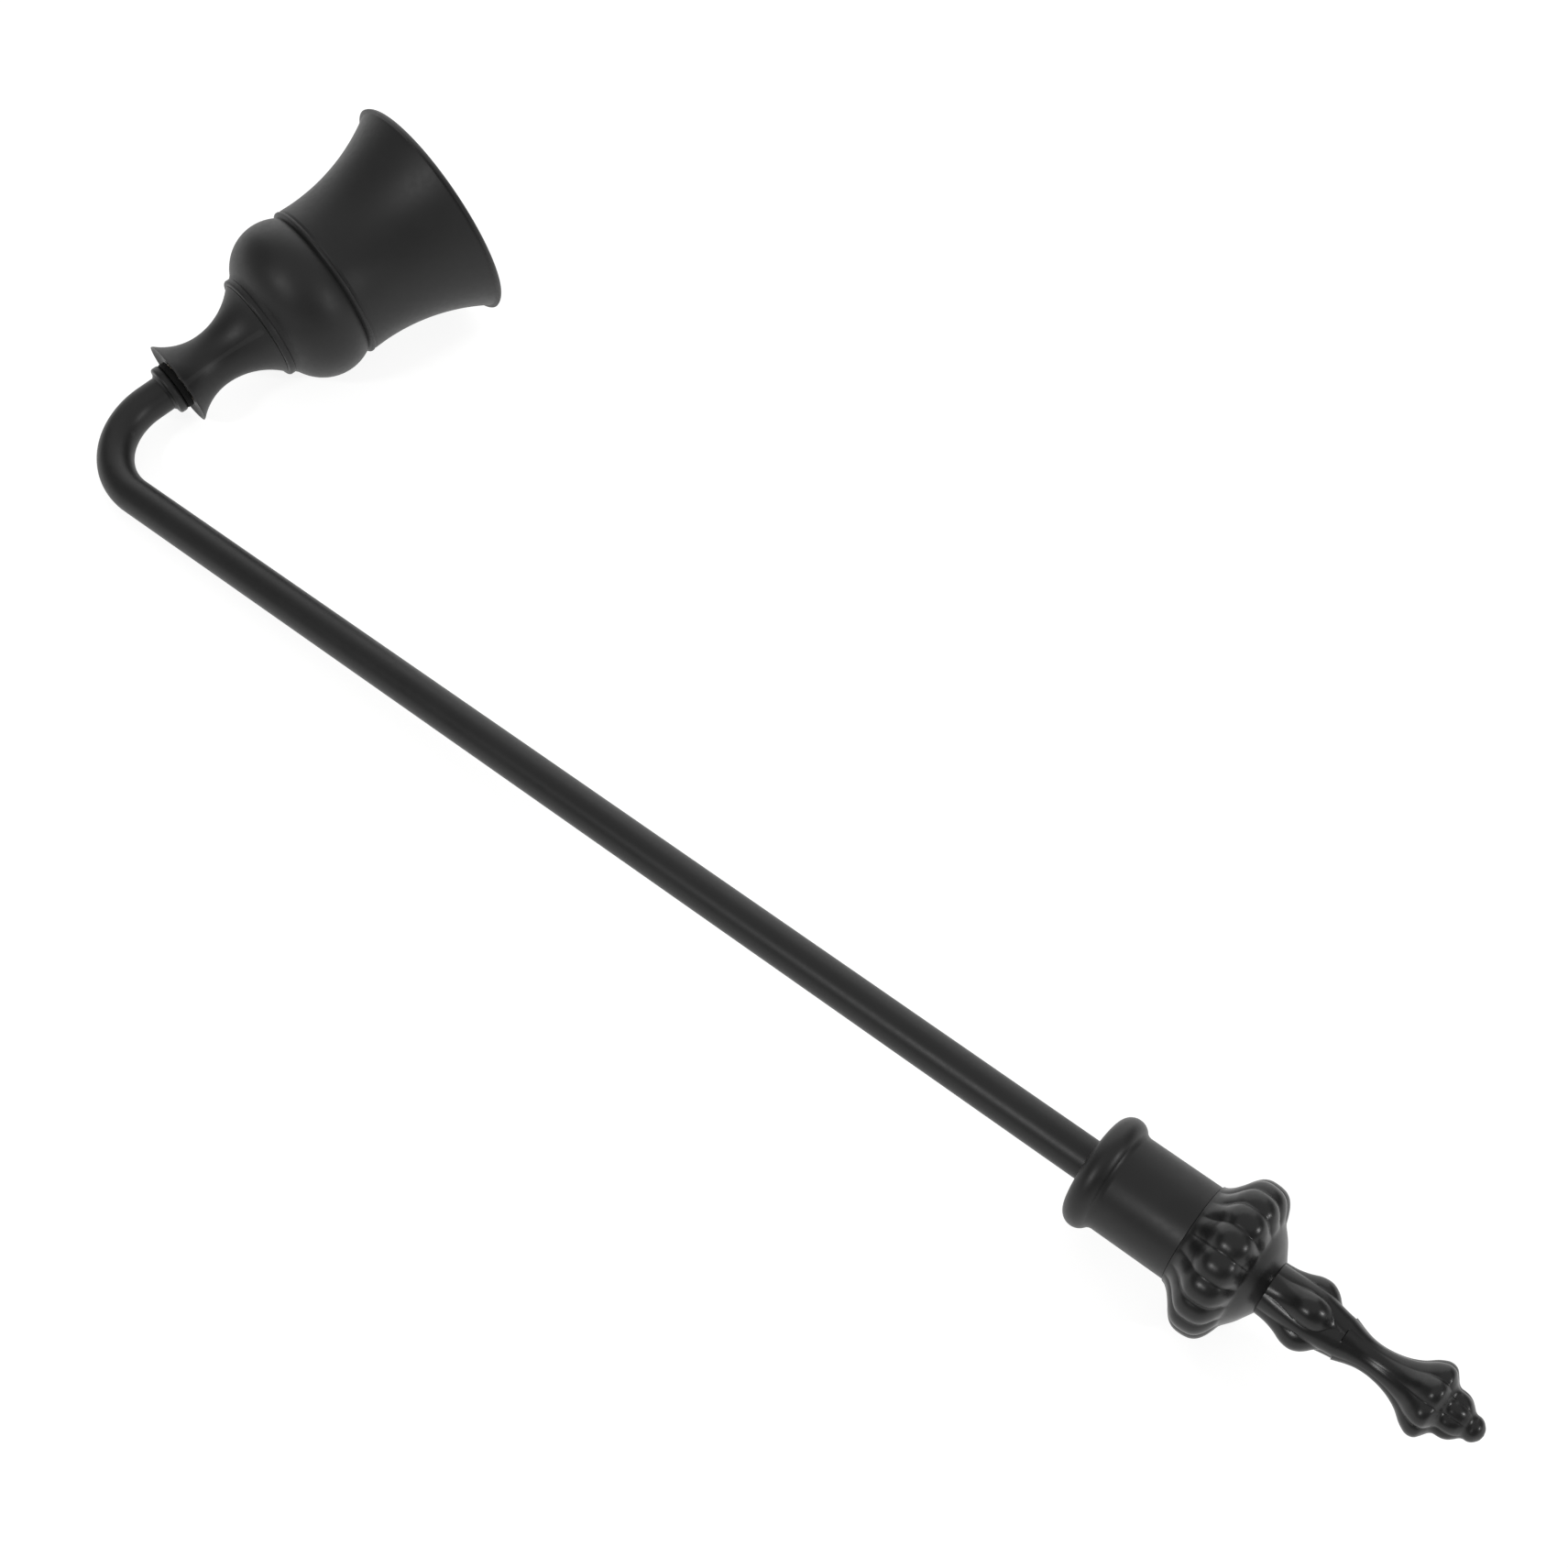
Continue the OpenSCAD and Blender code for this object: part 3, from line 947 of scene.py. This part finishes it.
        inner_reach = math.degrees(math.asin((back - 0.8 - self.skirt_waist_station) / inner_sweep))
        inner = arc(centre, inner_sweep, 270 + inner_reach, 270, 36)
        throat = self.skirt_waist_radius - self.wall
        return [*seam, *flare[1:], *rim, (self.mouth_station, rim_inner + 0.15),
                (self.mouth_station - 0.15, rim_inner), (back, rim_inner - 0.05), *inner,
                (self.lap_station, throat), (self.lap_station, self.seam_radius)]

    def bush_outline(self) -> list[Point]:
        """Turned sleeve that the spigot runs in."""
        return rounded([(self.neck_floor_station, self.bush_bore, 0.12),
                        (self.neck_floor_station, self.bush_radius, 0.05),
                        (self.boss_station, self.bush_radius, 0.05),
                        (self.boss_station, self.bush_bore, 0.12)], 3)


@dataclass(frozen=True)
class SwivelHardware:
    """Collar, washers and nut that hold the bell on the spigot."""

    legs: Layout
    rod_radius: float = 3.0
    collar_station: float = 18.2
    collar_length: float = 1.5
    collar_radius: float = 4.25
    fibre_station: float = 19.7
    fibre_length: float = 1.1
    fibre_radius: float = 4.15
    bore: float = 2.6
    washer_station: float = 39.1
    washer_length: float = 1.0
    washer_radius: float = 5.0
    spring_length: float = 1.1
    spring_radius: float = 4.4
    spring_wire: float = 0.85
    spring_gap_degrees: float = 12.0
    nut_length: float = 4.0
    nut_flats: float = 8.0
    nut_bore: float = 2.5
    nut_countersink: float = 0.35
    nut_chamfer_slope: float = 0.55

    def build(self) -> None:
        """Makes the five pieces from the collar to the nut."""
        fitting = Fitting(Body.HANDLE)
        leg = self.legs.bell()
        collar = Shape().turned(self._collar_outline(), True, 96)
        fitting.place(collar.piece("round_collar", leg), SATIN_BLACK, Slot.SATIN, "rod_collar")
        fibre = Shape().turned(self._ring(self.fibre_station, self.fibre_length, self.bore,
                                          self.fibre_radius, 0.12), True, 96)
        fitting.place(fibre.piece("fibre_washer", leg), FIBRE, Slot.FIBRE, "neck_washer")
        washer = Shape().turned(self._ring(self.washer_station, self.washer_length, self.bore,
                                           self.washer_radius, 0.15), True, 96)
        fitting.place(washer.piece("plain_washer", leg), ZINC, Slot.ZINC, "swivel_washer")
        fitting.place(self._spring().piece("split_spring_washer", leg), ZINC, Slot.ZINC, "spring_washer")
        fitting.place(self._nut().piece("hex_nut", leg, 30.0), ZINC, Slot.ZINC, "swivel_nut")

    def _collar_outline(self) -> list[Point]:
        """Round-edged collar with a small foot on the rod side.

        Returns:
            The closed outline, mm.
        """
        end = self.collar_station + self.collar_length
        foot = 0.5
        return rounded([(self.collar_station - foot, self.rod_radius, 0.05),
                        (self.collar_station - 0.05, self.rod_radius + foot, 0.25),
                        (self.collar_station, self.collar_radius, 0.5),
                        (end, self.collar_radius, 0.5), (end, self.rod_radius, 0.0)])

    @staticmethod
    def _ring(station: float, length: float, inner: float, outer: float, edge: float) -> list[Point]:
        """Outline of a flat ring with broken edges."""
        return rounded([(station, inner, edge), (station, outer, edge), (station + length, outer, edge),
                        (station + length, inner, edge)], 3)

    def _spring(self) -> Shape:
        """Split washer: one turn of square wire whose ends stand a little apart.

        Returns:
            The shape, in leg coordinates.
        """
        start = self.washer_station + self.washer_length
        thick = self.spring_wire
        rise = self.spring_length - thick
        gap = math.radians(self.spring_gap_degrees)
        steps = 90
        rings = []
        for i in range(steps + 1):
            share = i / steps
            angle = math.pi / 2 + gap / 2 + (math.tau - gap) * share
            low = start + rise * share
            section = rounded([(low, self.bore, 0.08), (low, self.spring_radius, 0.12),
                               (low + thick, self.spring_radius, 0.12), (low + thick, self.bore, 0.08)], 3)
            rings.append([Vector((r * math.cos(angle), r * math.sin(angle), z)) for z, r in section])
        shape = Shape()
        shape.rings(rings, False)
        size = len(rings[0])
        shape.faces.append(list(range(size))[::-1])
        shape.faces.append([steps * size + k for k in range(size)])
        return shape

    def _nut(self) -> Shape:
        """Hexagon nut with chamfered corners and a countersunk bore.

        Returns:
            The shape, in leg coordinates.
        """
        start = self.washer_station + self.washer_length + self.spring_length
        end = start + self.nut_length
        flat = self.nut_flats / 2
        corner = flat / math.cos(math.pi / 6)
        round_r = flat * 1.03
        segments = 96
        drops = 5
        turns = [math.tau * k / segments for k in range(segments)]

        def ring(z: float, limit: float) -> list[Vector]:
            """One ring of the hexagon, cut off by a circle.

            Args:
                z: Station, mm.
                limit: Radius of the circle, mm.

            Returns:
                The ring's points.
            """
            sixth = math.pi / 3
            across = [min(flat / math.cos((t + sixth / 2) % sixth - sixth / 2), limit) for t in turns]
            return [Vector((r * math.cos(t), r * math.sin(t), z)) for r, t in zip(across, turns)]

        limits = [round_r + (corner - round_r) * i / drops for i in range(drops + 1)]
        chamfer = [(self.nut_chamfer_slope * (limit - round_r), limit) for limit in limits]
        rings = [ring(start + depth, limit) for depth, limit in chamfer]
        rings += [ring(end - depth, limit) for depth, limit in reversed(chamfer)]
        wide = self.nut_bore + self.nut_countersink
        for r, z in ((wide, end), (self.nut_bore, end - self.nut_countersink),
                     (self.nut_bore, start + self.nut_countersink), (wide, start)):
            rings.append([Vector((r * math.cos(t), r * math.sin(t), z)) for t in turns])
        shape = Shape()
        shape.rings(rings, True)
        return shape


@dataclass(frozen=True)
class Ferrule:
    """Tube of the handle with its rolled bead and the bush that centres the rod."""

    legs: Layout
    bead_station: float = 204.5
    bead_ring: float = 6.3
    bead_radius: float = 2.05
    tube_radius: float = 7.1
    tube_wall: float = 1.0
    tube_end: float = 218.2
    bush_station: float = 207.2
    bush_length: float = 3.4
    rod_radius: float = 3.0

    def build(self) -> None:
        """Makes the ferrule and its bush."""
        fitting = Fitting(Body.HANDLE)
        leg = self.legs.rod()
        tube = Shape().turned(self.outline(), True, 144)
        fitting.place(tube.piece("rolled_ferrule", leg), SATIN_BLACK, Slot.SATIN, "handle_ferrule")
        bush_end = self.bush_station + self.bush_length
        inner = self.tube_radius - self.tube_wall
        bush = Shape().turned(rounded([
            (self.bush_station, self.rod_radius, 0.2), (self.bush_station, inner, 0.2),
            (bush_end, inner, 0.1), (bush_end, self.rod_radius, 0.1)], 3), True, 72)
        fitting.place(bush.piece("brass_ferrule_bush", leg), BRASS, Slot.BRASS, "ferrule_bush")

    def outline(self) -> list[Point]:
        """Bead that curls over outwards and runs into the tube through a small fillet.

        Returns:
            The closed outline, mm.
        """
        centre = (self.bead_station, self.bead_ring)
        join = math.degrees(math.asin((self.tube_radius - self.bead_ring) / self.bead_radius))
        bead = arc(centre, self.bead_radius, 250, join + 9, 44)
        inner = self.tube_radius - self.tube_wall
        join_station = self.bead_station + self.bead_radius
        return [(self.bead_station + 1.2, self.bead_ring - 1.6), *bead,
                (join_station + 0.05, self.tube_radius + 0.09), (join_station + 0.4, self.tube_radius),
                (self.tube_end - 0.1, self.tube_radius), (self.tube_end, self.tube_radius - 0.1),
                (self.tube_end, inner), (join_station + 0.3, inner)]


@dataclass(frozen=True)
class Rosette:
    """Cast boss with round lobes all round it, sharp creases between them and a plain cone behind."""

    legs: Layout
    lobes: int = 18
    crease_degrees: float = 14.5
    segments_per_lobe: int = 20
    crown_share: float = 0.27
    foot_station: float = 218.2
    fade_in: float = 2.4
    lobe_end: float = 227.15
    fade_out: float = 0.55
    boss_radius: float = 6.1
    boss_station: float = 217.0

    def build(self) -> None:
        """Makes the rosette."""
        shape = Shape().turned(self.outline(), False, self.lobes * self.segments_per_lobe, self.cut)
        obj = shape.piece("lobed_rosette", self.legs.rod(), 55.0)
        Fitting(Body.HANDLE).place(obj, GLOSS_BLACK, Slot.GLOSS, "rosette")

    def outline(self) -> list[Point]:
        """Foot, dome and cone, from the ferrule to the finial.

        Returns:
            The open outline, mm.
        """
        dome = smooth_curve([
            (218.2, 7.3), (218.7, 7.5), (219.4, 8.1), (220.2, 9.1), (220.9, 10.12), (221.6, 10.9),
            (222.3, 11.32), (223.0, 11.48), (223.7, 11.49), (224.4, 11.42), (225.1, 11.22),
            (225.8, 10.72), (226.4, 9.85), (226.85, 8.75), (227.1, 7.95)], 0.14)
        cone = smooth_curve([(227.3, 7.62), (228.4, 6.25), (229.1, 5.1), (229.8, 3.9)], 0.4)
        return [(self.boss_station, 2.6), (self.boss_station, self.boss_radius),
                (self.foot_station, self.boss_radius), (self.foot_station, 7.0), *dome, *cone,
                (229.8, 2.0)]

    def cut(self, z: float, r: float, phi: float) -> float:
        """How far a round lobe's back lies under its highest line.

        Args:
            z: Station, mm.
            r: Radius before cutting, mm.
            phi: Angle round the axis.

        Returns:
            Depth in mm.
        """
        if z <= self.foot_station + 0.01 or z >= self.lobe_end or r < 7.3:
            return 0.0
        pitch = math.tau / self.lobes
        turn = (phi - math.radians(self.crease_degrees)) / pitch - 0.5
        off = abs(turn - round(turn)) * 2
        half = r * pitch / 2
        fall = self.crown_share * half
        ball = (half * half + fall * fall) / (2 * fall)
        share = min(1.0, (z - self.foot_station) / self.fade_in, (self.lobe_end - z) / self.fade_out)
        return (ball - math.sqrt(ball * ball - (off * half) ** 2)) * math.sin(share * math.pi / 2)


@dataclass(frozen=True)
class Finial:
    """Cast spindle: petals at the foot, a ridged waist, a lobed crown, a small tier and a round tip.

    Every cross-section is a ring of eight overlapping rods of the same thickness, so that neighbouring
    lobes meet in a crease. At the foot four of them swell into petals and the four between are ribs.
    """

    legs: Layout
    petal_degrees: float = 5.5
    crown_degrees: float = 1.0
    segments: int = 240
    start: float = 229.8
    spindle_start: float = 240.6
    crown_fade: Point = (241.0, 9.0)
    petals: tuple[Point, ...] = (
        (229.8, 3.85), (230.6, 3.9), (231.7, 4.05), (233.0, 4.42), (234.3, 4.95), (235.4, 5.12),
        (236.2, 5.0), (237.0, 4.6), (237.6, 4.1), (238.2, 3.45), (238.8, 3.0), (239.6, 2.75),
        (240.6, 2.7))
    ribs: tuple[Point, ...] = (
        (229.8, 3.8), (231.0, 3.88), (233.0, 4.05), (235.0, 4.15), (236.5, 4.1), (238.0, 3.75),
        (239.3, 3.42), (240.6, 3.15))
    spindle: tuple[Point, ...] = (
        (240.6, 3.15), (241.4, 2.86), (242.3, 2.54), (243.5, 2.24), (244.85, 2.14), (246.1, 2.24),
        (247.4, 2.5), (248.7, 2.95), (250.0, 3.66), (251.2, 4.66), (251.9, 5.1), (252.5, 5.36),
        (253.15, 5.38), (253.75, 5.11), (254.3, 4.4), (254.75, 3.75), (255.2, 3.42), (255.9, 3.36),
        (256.5, 3.25), (257.1, 2.95), (257.6, 2.5), (258.1, 1.98), (258.5, 1.78), (259.0, 1.72),
        (259.5, 1.5), (259.95, 1.05), (260.2, 0.6), (260.32, 0.0))
    roundness: tuple[Point, ...] = (
        (229.8, 0.7), (231.5, 0.56), (234.5, 0.44), (237.0, 0.46), (240.0, 0.62), (243.5, 0.78),
        (247.5, 0.66), (251.0, 0.44), (253.2, 0.38), (254.4, 0.42), (255.8, 0.42), (257.0, 0.5),
        (257.9, 0.75), (258.5, 1.0), (261.0, 1.0))

    def build(self) -> None:
        """Makes the finial."""
        stations = sorted({round(p[0], 3) for p in self._spaced()})
        rings = [[Vector((0.0, 0.0, self.start))] * self.segments]
        for z in stations:
            ring = []
            for k in range(self.segments):
                phi = math.tau * k / self.segments
                r = self.radius(z, phi)
                ring.append(Vector((r * math.cos(phi), r * math.sin(phi), z)))
            rings.append(ring)
        shape = Shape()
        shape.rings(rings, False)
        obj = shape.piece("lobed_finial", self.legs.rod(), 48.0)
        Fitting(Body.HANDLE).place(obj, GLOSS_BLACK, Slot.GLOSS, "finial")

    def _spaced(self) -> list[Point]:
        """Stations close enough together for every curve of the outline."""
        foot = resampled([(self.start, 0.0), (self.spindle_start, 0.0)], 0.14)
        return [*foot, *smooth_curve(self.spindle, 0.14)]

    def radius(self, z: float, phi: float) -> float:
        """Radius of the section at a station and angle.

        Args:
            z: Station, mm.
            phi: Angle round the axis.

        Returns:
            Radius in mm.
        """
        share = min(1.0, max(0.0, (z - self.crown_fade[0]) / self.crown_fade[1]))
        degrees = self.petal_degrees + (self.crown_degrees - self.petal_degrees) * share
        turn = (phi - math.radians(degrees)) / (math.tau / 8)
        thick = self._along(self.roundness, z)
        base = math.floor(turn)
        best = 0.0
        for lobe in (base - 1, base, base + 1, base + 2):
            crest = self._crest(z, lobe)
            best = max(best, self._rod(crest, thick * crest, (turn - lobe) * math.tau / 8))
        return best

    def _crest(self, z: float, lobe: int) -> float:
        """Largest radius of one lobe at a station.

        Args:
            z: Station, mm.
            lobe: Number of the lobe; petals are even and ribs are odd.

        Returns:
            Radius in mm.
        """
        if z >= self.spindle_start:
            return self._along(self.spindle, z)
        return self._along(self.petals if lobe % 2 == 0 else self.ribs, z)

    @staticmethod
    def _rod(crest: float, thick: float, angle: float) -> float:
        """Distance from the axis to the far side of a round rod that stands off it.

        Args:
            crest: Largest distance of the rod's far side, mm.
            thick: Radius of the rod, mm.
            angle: Angle from the rod's middle.

        Returns:
            Distance in mm, or 0 where the rod isn't met.
        """
        centre = crest - thick
        reach = thick * thick - (centre * math.sin(angle)) ** 2
        if reach < 0 or abs(angle) > math.pi / 2:
            return 0.0
        return centre * math.cos(angle) + math.sqrt(reach)

    @staticmethod
    def _along(curve: Sequence[Point], z: float) -> float:
        """Value of a curve at a station, eased between its points.

        Args:
            curve: Station and value of each point.
            z: Station, mm.

        Returns:
            The value, never below 0.
        """
        if z <= curve[0][0]:
            return curve[0][1]
        for i in range(1, len(curve)):
            if z <= curve[i][0]:
                p0 = curve[max(i - 2, 0)]
                p1, p2 = curve[i - 1], curve[i]
                p3 = curve[min(i + 1, len(curve) - 1)]
                span = p2[0] - p1[0]
                t = (z - p1[0]) / span
                m1 = (p2[1] - p0[1]) / max(p2[0] - p0[0], 1e-6) * span
                m2 = (p3[1] - p1[1]) / max(p3[0] - p1[0], 1e-6) * span
                value = ((2 * t ** 3 - 3 * t ** 2 + 1) * p1[1] + (t ** 3 - 2 * t ** 2 + t) * m1
                         + (3 * t ** 2 - 2 * t ** 3) * p2[1] + (t ** 3 - t ** 2) * m2)
                return max(value, 0.0)
        return curve[-1][1]


@dataclass(frozen=True)
class HiddenHardware:
    """Pieces closed up in the handle: their CAD solids stay and get a finish."""

    nodes: tuple[str, ...] = ("handle_nut", "handle_washer", "finial_stud")

    def build(self) -> None:
        """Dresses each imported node."""
        for name in self.nodes:
            obj = frame["nodes"][name]
            obj.data.materials.clear()
            obj.data.materials.append(ZINC.material())
            LOG.info("%s keeps its CAD solid, %s", name, ZINC.name)


# ---------------------------------------------------------------------------------------------------
# Studio
# ---------------------------------------------------------------------------------------------------


@dataclass(frozen=True)
class Softbox:
    """A square light a known way off, given by the brightness of its face.

    A face of brightness 1 looks as white as the floor.
    """

    name: str
    azimuth: float
    elevation: float
    distance_mm: float
    size_mm: Point
    brightness: float

    def build(self) -> None:
        """Makes the light and turns it to the snuffer."""
        data = bpy.data.lights.new(self.name, "AREA")
        data.shape = "RECTANGLE"
        data.size = self.size_mm[0] * MM
        data.size_y = self.size_mm[1] * MM
        data.energy = math.pi * data.size * data.size_y * self.brightness
        lamp = bpy.data.objects.new(self.name, data)
        turn, lift = math.radians(self.azimuth), math.radians(self.elevation)
        way = Vector((math.cos(lift) * math.cos(turn), math.cos(lift) * math.sin(turn), math.sin(lift)))
        lamp.location = way * self.distance_mm * MM
        lamp.rotation_mode = "QUATERNION"
        lamp.rotation_quaternion = (-way).to_track_quat("-Z", "Y")
        bpy.context.scene.collection.objects.link(lamp)


@dataclass(frozen=True)
class Studio:
    """Pale glowing floor, dim white surroundings, soft lights and the camera.

    The surroundings are as bright as the walls near the floor and fade to the ceiling's strength at
    wall_top, the sine of the angle above the floor.
    """

    camera_mm: tuple[float, float, float] = (108.442, -173.137, 267.587)
    aim_mm: tuple[float, float, float] = (2.233, -6.551, 3.260)
    roll_degrees: float = 7.786
    lens_mm: float = 50.0
    sensor_mm: float = 36.0
    floor_mm: float = 6000.0
    sky: str = "#ffffff"
    wall_strength: float = 0.7
    wall_top: float = 0.2
    ceiling_strength: float = 0.22
    lights: tuple[Softbox, ...] = (
        Softbox("overhead_softbox", 90.0, 80.0, 1500.0, (2400.0, 2400.0), 0.5),
        Softbox("back_softbox", 128.0, 26.0, 1700.0, (2800.0, 1500.0), 1.25),
        Softbox("front_lamp", -99.5, 40.2, 1580.0, (220.0, 90.0), 100.0),
        Softbox("right_lamp", 11.5, 29.5, 1500.0, (110.0, 110.0), 135.0),
    )

    def build(self) -> None:
        """Makes the floor, the sky, the lights and the camera."""
        self._floor()
        self._sky()
        for light in self.lights:
            light.build()
        self._camera()
        bpy.context.scene.view_settings.view_transform = "Standard"

    def _floor(self) -> None:
        """One large flat sheet under the snuffer."""
        half = self.floor_mm / 2 * MM
        mesh = bpy.data.meshes.new("opal_floor")
        mesh.from_pydata([(-half, -half, 0), (half, -half, 0), (half, half, 0), (-half, half, 0)], [],
                         [(0, 1, 2, 3)])
        floor = bpy.data.objects.new("opal_floor", mesh)
        floor.data.materials.append(FLOOR_SHEET.material())
        bpy.context.scene.collection.objects.link(floor)

    def _sky(self) -> None:
        """White walls that are bright low down and fade to a dim ceiling."""
        world = bpy.data.worlds.new("white_surroundings")
        world.use_nodes = True
        tree = world.node_tree
        tree.nodes.clear()
        heading = add_node(tree, "ShaderNodeTexCoord").outputs["Generated"]
        height = add_node(tree, "ShaderNodeSeparateXYZ", links={"Vector": heading}).outputs["Z"]
        fade = add_node(tree, "ShaderNodeMapRange",
                        {"From Min": 0.0, "From Max": self.wall_top, "To Min": self.wall_strength,
                         "To Max": self.ceiling_strength}, {"Value": height})
        light = add_node(tree, "ShaderNodeBackground", {"Color": linear(self.sky)},
                         {"Strength": fade.outputs["Result"]})
        add_node(tree, "ShaderNodeOutputWorld", links={"Surface": light.outputs[0]})
        bpy.context.scene.world = world

    def _camera(self) -> None:
        """Fifty millimetre lens over the handle's side, a little rolled."""
        data = bpy.data.cameras.new("camera")
        data.lens = self.lens_mm
        data.sensor_width = self.sensor_mm
        data.clip_start = 0.01
        data.clip_end = 20.0
        camera = bpy.data.objects.new("camera", data)
        forward = (Vector(self.aim_mm) - Vector(self.camera_mm)).normalized()
        side = forward.cross(Vector((0, 0, 1))).normalized()
        up = side.cross(forward)
        roll = math.radians(self.roll_degrees)
        right = side * math.cos(roll) + up * math.sin(roll)
        top = right.cross(forward)
        turn = Matrix((right, top, -forward)).transposed().to_4x4()
        camera.matrix_world = Matrix.Translation(Vector(self.camera_mm) * MM) @ turn
        bpy.context.scene.collection.objects.link(camera)
        bpy.context.scene.camera = camera


def main() -> None:
    """Builds every piece in order, then the studio."""
    logging.basicConfig(level=logging.INFO, format="%(name)s: %(message)s")
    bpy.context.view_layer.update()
    legs = Layout()
    for part in (BentRod(legs), SwivelHardware(legs), Bell(legs), Ferrule(legs), Rosette(legs),
                 Finial(legs), HiddenHardware()):
        part.build()
    Studio().build()


if __name__ == "__main__":
    main()
